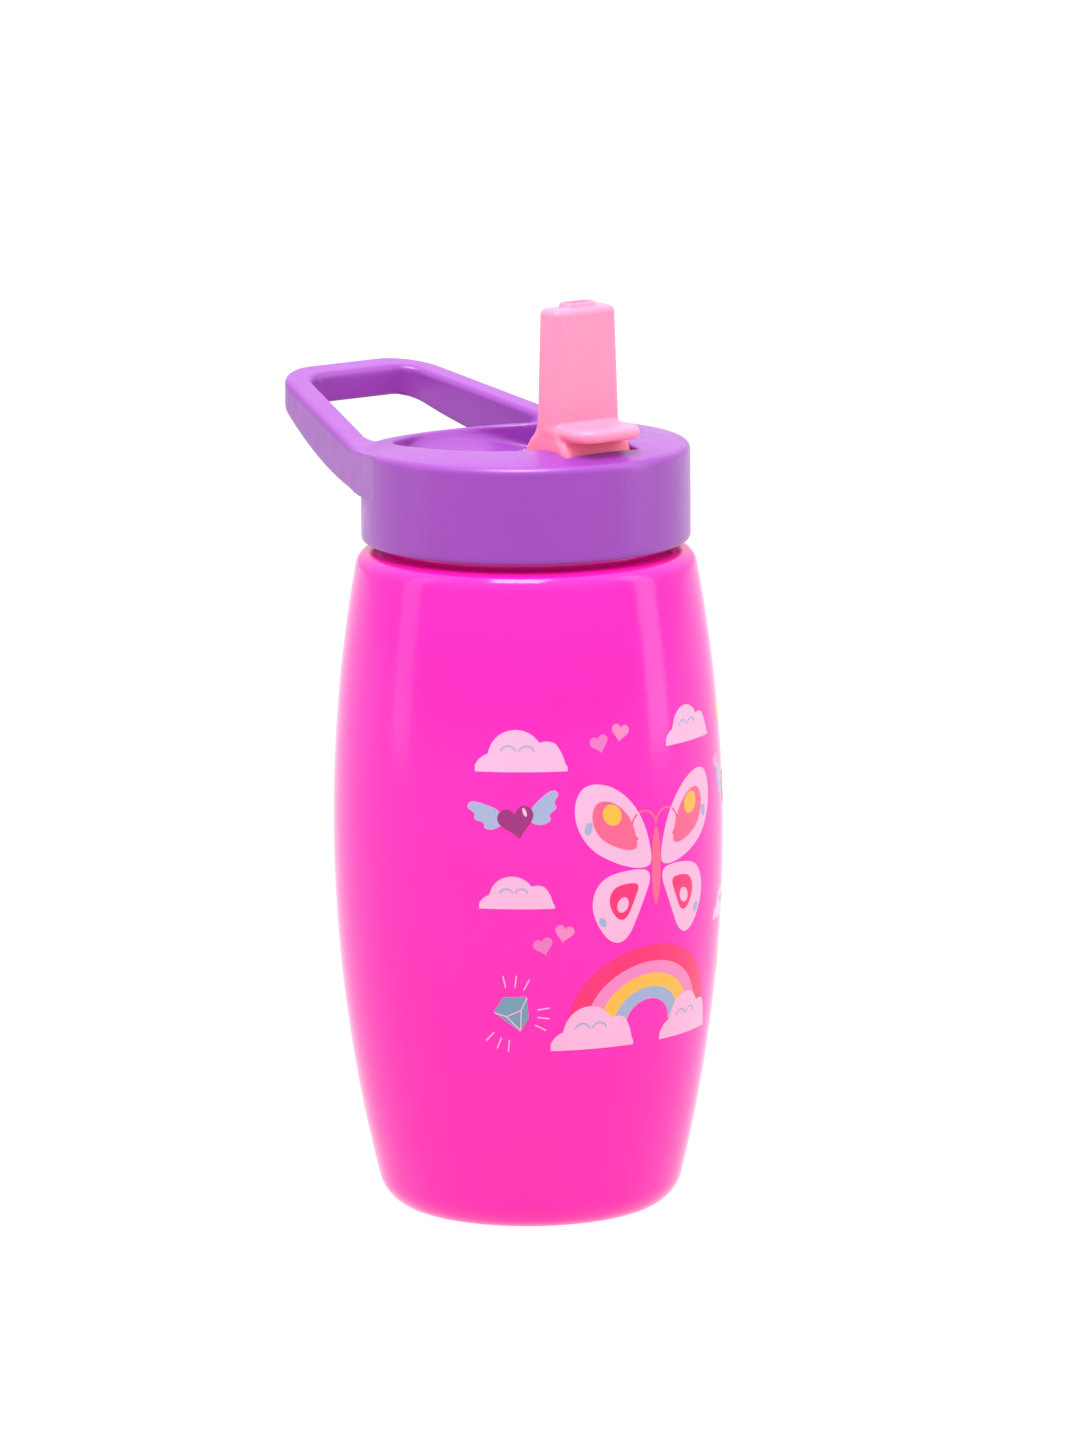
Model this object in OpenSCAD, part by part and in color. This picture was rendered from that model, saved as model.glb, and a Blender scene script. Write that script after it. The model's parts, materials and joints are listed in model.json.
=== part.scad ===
// Kids water bottle: barrel-shaped body, screw lid with a fixed carry loop, flip spout and straw.
// Millimetres. +Z is up, the spout is at the front (-Y) and the carry loop at the back (+Y).
// The origin is the centre of the base, on the surface that the bottle stands on.

/* [Bottle body] */
// Largest outer radius of the body
body_r = 37.5; // [36:0.5:40]
// Height of the widest part of the body
waist_z = 73.8; // [70:0.1:78]
// Radius of the long curve down the body's side
side_curve_r = 283; // [260:1:320]
// Height of the shoulder, where the neck starts
shoulder_z = 128.3; // [128:0.1:128.6]
// Wall thickness of the body
body_wall = 1.7; // [1.4:0.1:2]

/* [Neck and thread] */
// Outer radius of the neck
neck_r = 27.2; // [27:0.05:27.3]
// Height of the neck's rim
neck_top_z = 138.4; // [138:0.1:138.6]
// Rise of the thread in one turn
thread_lead = 4; // [3.6:0.1:4.4]

/* [Lid] */
// Outer radius of the lid
lid_r = 31.5; // [31.5:0.1:32]
// Height of the lid's lower edge
lid_z = 129.8; // [129.6:0.1:130]
// Height of the lid's top at its front, before the brow slopes down
crown_z = 150.8; // [150.6:0.1:150.9]
// How far back the carry loop reaches
loop_end_y = 61.5; // [59:0.5:63]
// Radius of the round recess that the spout folds into
recess_r = 23.5; // [23:0.1:23.5]

/* [Spout] */
// Height of the spout's flat top
spout_top_z = 176.7; // [172:0.1:176.8]
// Width of the spout at its foot
spout_w = 15.8; // [15.2:0.1:15.8]
// Radius of the spout's pivot barrel
barrel_r = 7.4; // [7.2:0.1:7.4]

/* [Straw] */
// Height of the straw's lower end
straw_z = 6; // [4:0.5:12]

/* [Hidden] */
$fn = 96;
fine = 360;

// Body
base_thickness = 2.6;
base_fillet = 8;
shoulder_fillet = 3.6;
side_centre_x = body_r - side_curve_r;
neck_bore_r = neck_r - 1.8;

// Thread: a ridge on the neck, which runs in a wider groove in the liner
ridge_depth = 0.9;
ridge_z = 131.2;
ridge_turns = 1.2;
ridge_base = 2.0;
ridge_tip = 0.8;
thread_gap = 0.25;
steps_per_turn = 48;

// Lid: a nearly flat top that dips towards the back, with a sloping brow round it
brow_r = 25;
brow_angle = 22.6;
tilt = 0.02;
dip = 0.09;
dip_y = 2;
dip_bend = 8;
lid_edge = 1.4;
lid_wall = 1.9;
lid_bore_r = lid_r - lid_wall;

// Recess in the lid's top: its floor rises to the back in a ramp
recess_y = 3;
recess_floor_z = 142;
recess_low_r = 23.8;
recess_step_z = 143.3;
cup_wall = 1.6;
ramp_y = 20.4;
ramp_slope = 0.75;

// Carry loop
loop_angle = 15;
loop_arm_w = 5.5;
loop_bar_w = 5.4;
loop_corner = 8;
loop_inner_corner = 3.5;
loop_low_y = 8;
loop_low_z = 138.8;
loop_low_r = 108;
loop_rise_y = 12;
loop_bend = 12;
loop_rise = 0.21;
loop_top_z = 147.5;

// Liner and gasket
liner_r = lid_bore_r - 0.05;
liner_z = 130.3;
land_z = 140;
land_thickness = 1.5;
land_top_z = land_z + land_thickness;
land_bore_r = 25.6;
liner_top_z = 143.5;

// Spout and its pivot
hinge_y = -17.3;
hinge_z = 146.6;
pocket_gap = 0.3;
pocket_r = barrel_r + pocket_gap;
pocket_w = spout_w + 2 * pocket_gap;
housing_wall = 1.5;
cheek_r = 2.6;
cheek_t = 2.3;
pin_r = 1.2;
pin_gap = 0.05;
pin_reach = 1.8;
stem_t = 6.9;
stem_corner = 1.6;
stem_scale = [14.4 / 15.8, 5.9 / 6.9];
web_r = 4.5;
rim_height = 0.9;
tab_z = 152.1;
tab_thickness = 2.5;
tab_end_r = 4.1;
tab_end_x = 3.5;
tab_y = -25.3;
core_r = 5;
core_w = 10;
nipple_r = 2.1;
nipple_top_z = 164;
channel_r = 1.3;

// Seal, straw connector, straw and vent
seal_r = 3.6;
seal_bottom_z = 135.6;
flange_r = 6;
flange_top_z = 137.2;
stub_r = 2.6;
stub_bore_r = 1.9;
stub_z = 126;
straw_r = 3.4;
straw_top_z = 134;
vent_y = 10;
vent_r = 3.2;

// A solid of revolution's outline: the body's side, base corner and shoulder, moved in by inset
module body_outline(inset, floor_z) {
    r = side_curve_r - inset;
    low_f = base_fillet - inset;
    high_f = shoulder_fillet - inset;
    low_z = floor_z + low_f;
    high_z = shoulder_z - inset - high_f;
    low_x = side_centre_x + sqrt(pow(r - low_f, 2) - pow(low_z - waist_z, 2));
    high_x = side_centre_x + sqrt(pow(r - high_f, 2) - pow(high_z - waist_z, 2));
    low_tangent_z = waist_z + (low_z - waist_z) * r / (r - low_f);
    high_tangent_z = waist_z + (high_z - waist_z) * r / (r - high_f);
    intersection() {
        translate([side_centre_x, waist_z]) circle(r = r, $fn = 2 * fine);
        translate([0, low_tangent_z]) square([body_r + 1, high_tangent_z - low_tangent_z]);
    }
    intersection() {
        union() {
            translate([low_x, low_z]) circle(r = low_f, $fn = fine / 4);
            translate([high_x, high_z]) circle(r = high_f, $fn = fine / 4);
        }
        square([body_r + 1, shoulder_z]);
    }
    translate([0, floor_z]) square([low_x, shoulder_z - inset - floor_z - high_f]);
    translate([0, high_z - 1]) square([high_x, high_f + 1]);
}

// One point of a thread's cross-section, turned to its place on the helix
function helix_point(turn, r, z) = [
    r * cos(360 * turn),
    r * sin(360 * turn),
    ridge_z + thread_lead * turn + z
];

// A helical ridge from radius root to radius tip, widened all round by gap
module thread(start_turn, end_turn, root, tip, gap) {
    steps = ceil((end_turn - start_turn) * steps_per_turn);
    base_h = ridge_base / 2 + gap;
    tip_h = ridge_tip / 2 + gap;
    section = [[root, -base_h], [tip, -tip_h], [tip, tip_h], [root, base_h]];
    points = [
        for (i = [0:steps])
            for (p = section)
                helix_point(start_turn + (end_turn - start_turn) * i / steps, p[0], p[1])
    ];
    sides = [
        for (i = [0:steps - 1])
            for (k = [0:3])
                [4 * i + k, 4 * i + (k + 1) % 4, 4 * i + 4 + (k + 1) % 4, 4 * i + 4 + k]
    ];
    ends = [[3, 2, 1, 0], [4 * steps, 4 * steps + 1, 4 * steps + 2, 4 * steps + 3]];
    polyhedron(points = points, faces = concat(sides, ends), convexity = 6);
}

module bottle_body() {
    groove_r = 18;
    color("deeppink") {
        rotate_extrude($fn = fine)
            difference() {
                union() {
                    body_outline(0, 0);
                    square([neck_r, neck_top_z]);
                }
                body_outline(body_wall, base_thickness);
                translate([0, base_thickness + 1]) square([neck_bore_r, neck_top_z]);
                translate([groove_r, 0]) circle(r = 0.8, $fn = 32);
            }
        thread(0, ridge_turns, neck_r - 0.4, neck_r + ridge_depth, 0);
    }
}

// The lid's outline from its axis to its side, without its carry loop
module lid_outline() {
    edge_x = lid_r - lid_edge;
    edge_z = crown_z - (lid_edge + (edge_x - brow_r) * sin(brow_angle)) / cos(brow_angle);
    polygon([
        [0, lid_z],
        [lid_r - 1, lid_z],
        [lid_r, lid_z + 1],
        [lid_r, edge_z],
        [edge_x + lid_edge * sin(brow_angle), edge_z + lid_edge * cos(brow_angle)],
        [brow_r, crown_z],
        [0, crown_z]
    ]);
    translate([edge_x, edge_z]) circle(r = lid_edge);
    translate([lid_r - 1, lid_z + 1]) circle(r = 1);
}

module lid_hollow() {
    brow_drop = (lid_bore_r - brow_r) * tan(brow_angle) + lid_wall / cos(brow_angle);
    polygon([
        [0, lid_z - 1],
        [lid_bore_r, lid_z - 1],
        [lid_bore_r, crown_z - brow_drop],
        [brow_r, crown_z - lid_wall],
        [0, crown_z - lid_wall]
    ]);
}

// Height of the lid's top in the middle, inside the brow: a faint tilt, a bend, then a dip to the back
function lid_top(y) =
    let(past = max(y - dip_y + dip_bend / 2, 0))
    crown_z - tilt * (y + lid_r)
    - dip * (past < dip_bend ? pow(past, 2) / (2 * dip_bend) : past - dip_bend / 2);

// Everything below the lid's dipping top, moved down by a depth
module below_top(depth) {
    reach = lid_r + 5;
    ys = concat([for (i = [0:8]) dip_y + dip_bend * (i / 8 - 0.5)], [reach]);
    rotate([90, 0, 90]) translate([0, 0, -reach]) linear_extrude(height = 2 * reach)
        polygon(concat(
            [[reach, lid_z - 5], [-reach, lid_z - 5], [-reach, lid_top(-reach) - depth]],
            [for (y = ys) [y, lid_top(y) - depth]]
        ));
}

// The flat outline of the carry loop's outside or inside: sides that taper from the lid to a round end
module loop_outline(inset, end_y, corner) {
    nx = cos(loop_angle);
    ny = sin(loop_angle);
    reach = lid_r - inset;
    corner_y = end_y - corner;
    corner_x = (reach - corner - ny * corner_y) / nx;
    side_x = corner_x + corner * nx;
    side_y = corner_y + corner * ny;
    polygon([
        [reach * nx, reach * ny],
        [side_x, side_y],
        [corner_x, end_y],
        [-corner_x, end_y],
        [-side_x, side_y],
        [-reach * nx, reach * ny]
    ]);
    for (s = [-1, 1])
        translate([s * corner_x, corner_y]) circle(r = corner);
}

// The carry loop's lower edge: level at the lid, then curving up towards the end
function loop_low(y) = loop_low_z + pow(max(y - loop_low_y, 0), 2) / (2 * loop_low_r);

// The carry loop's upper edge: level at the lid, a bend, then a straight rise
function loop_high(y) =
    let(past = max(y - loop_rise_y, 0), bend = loop_bend / 2)
    loop_top_z + (past < 2 * bend ? loop_rise * pow(past, 2) / (4 * bend) : loop_rise * (past - bend));

// The side view of the carry loop
module loop_side() {
    steps = 16;
    ys = [for (i = [0:steps]) (loop_end_y + 1) * i / steps];
    polygon(concat(
        [for (y = ys) [y, loop_low(y)]],
        [for (i = [steps:-1:0]) [ys[i], loop_high(ys[i])]]
    ));
}

module carry_loop() {
    difference() {
        intersection() {
            translate([0, 0, lid_z]) linear_extrude(height = 40)
                difference() {
                    loop_outline(0, loop_end_y, loop_corner);
                    loop_outline(loop_arm_w, loop_end_y - loop_bar_w, loop_inner_corner);
                }
            rotate([90, 0, 90]) translate([0, 0, -lid_r]) linear_extrude(height = 2 * lid_r)
                loop_side();
        }
        translate([0, 0, lid_z]) cylinder(r = lid_r - 1, h = 40);
    }
}

// A cylinder along X on the spout's hinge axis
module hinge_cylinder(r, length) {
    translate([-length / 2, hinge_y, hinge_z]) rotate([0, 90, 0]) cylinder(r = r, h = length);
}

// The round cup of the recess and the housing round the pivot barrel, before they are hollowed
module recess_walls(gap) {
    housing_r = pocket_r + cup_wall + gap;
    housing_w = pocket_w + 2 * housing_wall + 2 * gap;
    intersection() {
        union() {
            translate([0, recess_y, recess_floor_z - cup_wall - gap])
                cylinder(r = recess_r + cup_wall + gap, h = 30, $fn = fine);
            hinge_cylinder(housing_r, housing_w);
            translate([-housing_w / 2, hinge_y - housing_r, hinge_z])
                cube([housing_w, 2 * housing_r, 20]);
        }
        union() {
            translate([0, 0, lid_z]) cylinder(r = land_bore_r - 0.3 + gap, h = 30, $fn = fine);
            translate([0, 0, land_top_z + 0.2 - gap]) cylinder(r = lid_r + 5, h = 30);
        }
    }
}

// Two upright cheeks beside the barrel, which hold the pivot's pins
module cheeks() {
    width = pocket_w + 2 * cheek_t;
    hinge_cylinder(cheek_r, width);
    translate([-width / 2, hinge_y - cheek_r, recess_floor_z - 1])
        cube([width, 2 * cheek_r, hinge_z - recess_floor_z + 1]);
}

// The recess's bowl, which is a little narrower low down, above the gasket
module recess_bowl() {
    ramp_reach = 20;
    difference() {
        intersection() {
            translate([0, recess_y, recess_floor_z]) cylinder(r = recess_r, h = 30, $fn = fine);
            union() {
                translate([0, 0, lid_z]) cylinder(r = recess_low_r, h = 30, $fn = fine);
                translate([0, 0, recess_step_z]) cylinder(r = lid_r + 5, h = 30);
            }
        }
        rotate([90, 0, 90]) translate([0, 0, -lid_r]) linear_extrude(height = 2 * lid_r)
            polygon([
                [ramp_y, recess_floor_z],
                [ramp_y, recess_floor_z - 1],
                [ramp_y + ramp_reach, recess_floor_z - 1],
                [ramp_y + ramp_reach, recess_floor_z + ramp_slope * ramp_reach]
            ]);
        cheeks();
    }
}

module recess_cut() {
    recess_bowl();
    hinge_cylinder(pocket_r, pocket_w);
    translate([-pocket_w / 2, hinge_y - pocket_r, hinge_z]) cube([pocket_w, 2 * pocket_r, 20]);
    hinge_cylinder(pin_r + pin_gap, pocket_w + 2 * pin_reach - 0.4);
    translate([0, hinge_y, seal_bottom_z]) cylinder(r = seal_r, h = 10);
    translate([0, vent_y, recess_floor_z - 3]) cylinder(r = 1, h = 6);
    for (a = [0:120:240])
        translate([0, vent_y, recess_floor_z - 3]) rotate(a + 90) translate([2.1, 0, 0])
            cylinder(r = 0.5, h = 6, $fn = 32);
}

module lid() {
    color("mediumorchid")
        difference() {
            union() {
                difference() {
                    intersection() {
                        rotate_extrude($fn = fine) lid_outline();
                        below_top(0);
                    }
                    intersection() {
                        rotate_extrude($fn = fine) lid_hollow();
                        below_top(lid_wall);
                    }
                }
                intersection() {
                    recess_walls(0);
                    rotate_extrude($fn = fine) lid_outline();
                    below_top(0);
                    translate([0, 0, lid_z]) cylinder(r = lid_bore_r + 0.5, h = 40);
                }
                translate([0, hinge_y, flange_top_z]) cylinder(r = flange_r, h = 3);
                carry_loop();
            }
            recess_cut();
        }
}

module lid_liner() {
    thread_root_r = neck_r + ridge_depth + thread_gap;
    color("plum")
        difference() {
            rotate_extrude($fn = fine) {
                translate([neck_r + thread_gap, liner_z])
                    square([liner_r - neck_r - thread_gap, land_top_z - liner_z]);
                translate([land_bore_r, land_z]) square([liner_r - land_bore_r, land_thickness]);
                translate([thread_root_r, liner_z])
                    square([liner_r - thread_root_r, liner_top_z - liner_z]);
            }
            thread(-0.8, ridge_turns + 0.08, neck_r - 0.5, thread_root_r, thread_gap);
            recess_walls(0.2);
        }
}

module lid_gasket() {
    color("white")
        translate([0, 0, neck_top_z + 0.05])
            difference() {
                cylinder(r = neck_r, h = land_z - neck_top_z - 0.05, $fn = fine);
                translate([0, 0, -1]) cylinder(r = neck_bore_r + 0.2, h = 4, $fn = fine);
            }
}

// A rectangle with round corners, centred
module round_rect(w, h, r) {
    square([w - 2 * r, h], center = true);
    square([w, h - 2 * r], center = true);
    for (x = [-1, 1])
        for (y = [-1, 1])
            translate([x * (w / 2 - r), y * (h / 2 - r)]) circle(r = r, $fn = 32);
}

// The mouthpiece's upright part, tapering a little towards its top
module spout_stem() {
    translate([0, hinge_y, hinge_z])
        linear_extrude(height = spout_top_z - hinge_z, scale = stem_scale, slices = 2)
            round_rect(spout_w, stem_t, stem_corner);
    for (s = [-1, 1])
        translate([s * 1.9, hinge_y, spout_top_z - 1]) cylinder(r = 1.9, h = 1 + rim_height);
    translate([-1.9, hinge_y - 1.9, spout_top_z - 1]) cube([3.8, 3.8, 1 + rim_height]);
}

// The concave web where the back of the stem runs into the barrel
module spout_web() {
    back_y = stem_t / 2 - 0.1;
    centre_y = back_y + web_r;
    centre_z = sqrt(pow(barrel_r + web_r, 2) - pow(centre_y, 2));
    touch_y = centre_y * barrel_r / (barrel_r + web_r);
    translate([-spout_w / 2, hinge_y, hinge_z]) rotate([90, 0, 90])
        linear_extrude(height = spout_w)
            difference() {
                translate([back_y - 1, 3]) square([touch_y - back_y + 1, centre_z - 3]);
                translate([centre_y, centre_z]) circle(r = web_r);
            }
}

module spout_tab() {
    translate([0, 0, tab_z]) linear_extrude(height = tab_thickness) {
        for (s = [-1, 1])
            translate([s * tab_end_x, tab_y]) circle(r = tab_end_r);
        translate([-tab_end_x, tab_y - tab_end_r]) square([2 * tab_end_x, 2 * tab_end_r]);
        translate([-spout_w / 2, tab_y]) square([spout_w, hinge_y - tab_y]);
    }
}

// The pivot's core: a drum with two pins on the hinge axis and a hollow nipple up the stem
module pivot_solid() {
    hinge_cylinder(core_r, core_w);
    hinge_cylinder(pin_r, pocket_w + 2 * pin_reach - 1);
    translate([0, hinge_y, hinge_z]) cylinder(r = nipple_r, h = nipple_top_z - hinge_z);
}

module spout() {
    color("lightpink")
        difference() {
            union() {
                hinge_cylinder(barrel_r, spout_w);
                spout_stem();
                spout_web();
                spout_tab();
            }
            pivot_solid();
            translate([0, hinge_y, hinge_z - barrel_r - 1])
                cylinder(r = channel_r, h = spout_top_z - hinge_z + barrel_r + 10);
            translate([0, hinge_y, nipple_top_z]) cylinder(r = channel_r + 0.3, h = 20);
        }
}

module spout_pivot() {
    color("white")
        difference() {
            pivot_solid();
            translate([0, hinge_y, hinge_z - barrel_r]) cylinder(r = channel_r, h = 40);
        }
}

module spout_seal() {
    color("whitesmoke")
        difference() {
            translate([0, hinge_y, seal_bottom_z]) cylinder(r = seal_r, h = hinge_z - seal_bottom_z - 4);
            hinge_cylinder(barrel_r + 0.1, spout_w + 2);
            translate([0, hinge_y, seal_bottom_z - 1]) cylinder(r = channel_r + 0.3, h = 20);
        }
}

module straw_connector() {
    color("white")
        translate([0, hinge_y, 0])
            difference() {
                union() {
                    translate([0, 0, seal_bottom_z - 1.2])
                        cylinder(r = flange_r, h = flange_top_z - seal_bottom_z + 1.2);
                    translate([0, 0, stub_z]) cylinder(r = stub_r, h = seal_bottom_z - stub_z);
                }
                translate([0, 0, seal_bottom_z]) cylinder(r = seal_r, h = 10);
                translate([0, 0, stub_z - 1]) cylinder(r = stub_bore_r, h = 20);
            }
}

module straw() {
    color("white")
        translate([0, hinge_y, straw_z])
            difference() {
                cylinder(r = straw_r, h = straw_top_z - straw_z);
                translate([0, 0, -1]) cylinder(r = stub_r, h = straw_top_z);
            }
}

module vent_valve() {
    floor_underside_z = recess_floor_z - cup_wall;
    color("ghostwhite")
        translate([0, vent_y, floor_underside_z]) {
            translate([0, 0, -0.7]) cylinder(r = vent_r, h = 0.7);
            translate([0, 0, -0.7]) cylinder(r = 1, h = 0.7 + cup_wall + 0.3);
            translate([0, 0, cup_wall]) cylinder(r = 1.4, h = 0.8);
        }
}

bottle_body();
lid();
lid_liner();
lid_gasket();
spout();
spout_pivot();
spout_seal();
straw_connector();
straw();
vent_valve();
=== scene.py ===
import json
import math

import bmesh
import bpy
import numpy as np
from mathutils import Matrix, Vector


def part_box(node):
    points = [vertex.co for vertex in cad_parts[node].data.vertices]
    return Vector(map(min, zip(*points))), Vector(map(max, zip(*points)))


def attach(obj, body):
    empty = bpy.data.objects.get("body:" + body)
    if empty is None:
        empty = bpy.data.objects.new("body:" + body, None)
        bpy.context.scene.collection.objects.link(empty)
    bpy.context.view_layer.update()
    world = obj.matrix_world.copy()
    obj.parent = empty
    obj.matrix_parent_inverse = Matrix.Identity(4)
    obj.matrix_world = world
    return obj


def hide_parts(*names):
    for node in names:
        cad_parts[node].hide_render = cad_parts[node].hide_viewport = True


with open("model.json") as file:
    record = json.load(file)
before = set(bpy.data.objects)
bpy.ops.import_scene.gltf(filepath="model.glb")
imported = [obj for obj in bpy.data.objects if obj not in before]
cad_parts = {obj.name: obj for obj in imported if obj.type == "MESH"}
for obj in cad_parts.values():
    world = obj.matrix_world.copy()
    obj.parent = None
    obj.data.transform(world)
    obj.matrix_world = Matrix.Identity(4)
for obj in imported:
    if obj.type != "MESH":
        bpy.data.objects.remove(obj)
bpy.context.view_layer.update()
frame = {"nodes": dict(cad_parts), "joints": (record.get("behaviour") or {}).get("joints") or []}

# Sizes and places in this script are millimetres in the row frame: +Z up, spout at -Y, loop at +Y.
MM = 0.001


def node_box(name):
    """Lowest and highest corner of a CAD node, in millimetres."""
    low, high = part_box(name)
    return low / MM, high / MM


BODY_HIGH = node_box("bottle_body")[1]
LID_LOW, LID_HIGH = node_box("lid")
SPOUT_LOW, SPOUT_HIGH = node_box("spout")
HINGE = next(j for j in frame["joints"] if j["name"] == "spout_flip")
HINGE_Y, HINGE_Z = HINGE["pos_m"][1] / MM, HINGE["pos_m"][2] / MM


# ---------------------------------------------------------------- shape fields
# A field is a function of x, y, z arrays: negative inside the shape, positive outside, in millimetres.

def round_and(a, b, radius):
    """Where both shapes are, with the edge between them rounded."""
    return np.minimum(np.maximum(a, b), -radius) + np.hypot(
        np.maximum(a + radius, 0), np.maximum(b + radius, 0))


def round_or(a, b, radius):
    """Where either shape is, with the inner corner between them filled in."""
    return np.maximum(np.minimum(a, b), radius) - np.hypot(
        np.maximum(radius - a, 0), np.maximum(radius - b, 0))


def capsule(x, y, half_length, radius):
    """A flat stadium shape along x."""
    return np.hypot(np.maximum(np.abs(x) - half_length, 0), y) - radius


def cell_corners(values):
    """The eight corner values of every grid cell, keyed by corner offset."""
    nx, ny, nz = values.shape
    return {
        (i, j, k): values[i:nx - 1 + i, j:ny - 1 + j, k:nz - 1 + k]
        for i in (0, 1) for j in (0, 1) for k in (0, 1)
    }


def net_vertices(values):
    """One point for each cell that the surface crosses, in cell units, and each cell's point number."""
    corners = cell_corners(values)
    total = np.zeros(corners[0, 0, 0].shape + (3,))
    count = np.zeros(corners[0, 0, 0].shape)
    for start, a in corners.items():
        for axis in range(3):
            if start[axis] == 1:
                continue
            end = list(start)
            end[axis] = 1
            b = corners[tuple(end)]
            crossed = (a < 0) != (b < 0)
            along = np.where(crossed, a / np.where(crossed, a - b, 1), 0)
            for other in range(3):
                total[..., other] += crossed * (along if other == axis else start[other])
            count += crossed
    active = count > 0
    number = np.full(active.shape, -1)
    number[active] = np.arange(active.sum())
    cells = np.argwhere(active)
    return cells + total[active] / count[active][:, None], number


def net_quads(values, number):
    """A quad round every grid edge that the surface crosses."""
    quads = []
    inside = values < 0
    for axis in range(3):
        u, v = (axis + 1) % 3, (axis + 2) % 3
        first = [slice(1, -1)] * 3
        second = [slice(1, -1)] * 3
        first[axis] = slice(0, -1)
        second[axis] = slice(1, None)
        a, b = inside[tuple(first)], inside[tuple(second)]
        where = np.argwhere(a != b)
        base = where + 1
        base[:, axis] -= 1
        flip = a[a != b]
        ring = []
        for du, dv in ((0, 0), (-1, 0), (-1, -1), (0, -1)):
            cell = base.copy()
            cell[:, u] += du
            cell[:, v] += dv
            ring.append(number[cell[:, 0], cell[:, 1], cell[:, 2]])
        ring = np.stack(ring, 1)
        ring[~flip] = ring[~flip][:, ::-1]
        quads.append(ring)
    return np.concatenate(quads)


def settle(points, field, cell):
    """Moves points onto the surface, along the field's slope."""
    step = cell / 50
    for _ in range(4):
        x, y, z = points.T
        value = field(x, y, z)
        slope = np.stack([
            field(x + step, y, z) - field(x - step, y, z),
            field(x, y + step, z) - field(x, y - step, z),
            field(x, y, z + step) - field(x, y, z - step),
        ], 1) / (2 * step)
        size = np.maximum((slope ** 2).sum(1), 0.05)
        move = slope * (value / size)[:, None]
        points = points - np.clip(move, -cell / 3, cell / 3)
    return points


def field_mesh(name, field, low, high, cell):
    """A closed quad mesh of a field's surface inside a box."""
    axes = [np.arange(a - 2 * cell, b + 3 * cell, cell) for a, b in zip(low, high)]
    values = field(*np.meshgrid(*axes, indexing="ij"))
    points, number = net_vertices(values)
    origin = np.array([a[0] for a in axes])
    points = settle(origin + points * cell, field, cell)
    return mesh_object(name, points, net_quads(values, number))


# ---------------------------------------------------------------- mesh building

def mesh_object(name, points, quads):
    """A smooth-shaded object from points in millimetres."""
    mesh = bpy.data.meshes.new(name)
    mesh.vertices.add(len(points))
    mesh.vertices.foreach_set("co", (np.asarray(points) * MM).ravel().astype(np.float32))
    mesh.loops.add(len(quads) * 4)
    mesh.loops.foreach_set("vertex_index", np.asarray(quads).ravel().astype(np.int32))
    mesh.polygons.add(len(quads))
    mesh.polygons.foreach_set("loop_start", np.arange(0, len(quads) * 4, 4, dtype=np.int32))
    mesh.update(calc_edges=True)
    mesh.validate()
    mesh.shade_smooth()
    piece = bpy.data.objects.new(name, mesh)
    bpy.context.scene.collection.objects.link(piece)
    return piece


def revolve(name, outline, steps):
    """A closed solid from an outline of (radius, height) points that goes once round its section."""
    outline = np.array(outline)
    count = len(outline)
    turn = 2 * math.pi * np.arange(steps) / steps
    points = np.stack([
        np.outer(np.cos(turn), outline[:, 0]),
        np.outer(np.sin(turn), outline[:, 0]),
        np.tile(outline[:, 1], (steps, 1)),
    ], -1).reshape(-1, 3)
    step, side = np.meshgrid(np.arange(steps), np.arange(count), indexing="ij")
    after, beside = (step + 1) % steps, (side + 1) % count
    quads = np.stack([
        step * count + side, after * count + side,
        after * count + beside, step * count + beside,
    ], -1).reshape(-1, 4)
    return mesh_object(name, points, quads)


def arc(centre, radius, start, end, steps):
    """Points along a circular arc, with its angles in degrees."""
    return [
        (centre[0] + radius * math.cos(math.radians(a)), centre[1] + radius * math.sin(math.radians(a)))
        for a in np.linspace(start, end, steps + 1)
    ]


# ---------------------------------------------------------------- materials

def new_material(name, colour, roughness, **settings):
    """A material and its Principled shader. settings are the shader's other inputs, by name."""
    material = bpy.data.materials.new(name)
    material.use_nodes = True
    shader = material.node_tree.nodes["Principled BSDF"]
    shader.inputs["Base Color"].default_value = (*colour, 1)
    shader.inputs["Roughness"].default_value = roughness
    for key, value in settings.items():
        shader.inputs[key.replace("_", " ")].default_value = value
    return material, shader


def add_node(material, kind, **inputs):
    """A node of a kind, with its inputs set from values or joined to other nodes' outputs."""
    node = material.node_tree.nodes.new(kind)
    for key, value in inputs.items():
        socket = node.inputs[key.replace("_", " ")]
        if isinstance(value, bpy.types.NodeSocket):
            material.node_tree.links.new(value, socket)
        else:
            socket.default_value = value
    return node


def noise(material, scale, detail=3.0, roughness=0.5):
    """Noise in the object's own space, with its scale in features a metre."""
    place = add_node(material, "ShaderNodeTexCoord")
    return add_node(material, "ShaderNodeTexNoise", Vector=place.outputs["Object"], Scale=scale,
                    Detail=detail, Roughness=roughness)


def spread(material, value, low, high):
    """Maps a noise value, which is mostly 0.3 to 0.7, to a range."""
    node = add_node(material, "ShaderNodeMapRange", Value=value,
                    From_Min=0.3, From_Max=0.7, To_Min=low, To_Max=high)
    return node.outputs["Result"]


FLOW_SCALE, WEAR_SCALE = 55, 240
# The sockets of a Mix node that mixes colours
MIX_FACTOR, MIX_A, MIX_B, MIX_RESULT = 0, 6, 7, 2


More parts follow.
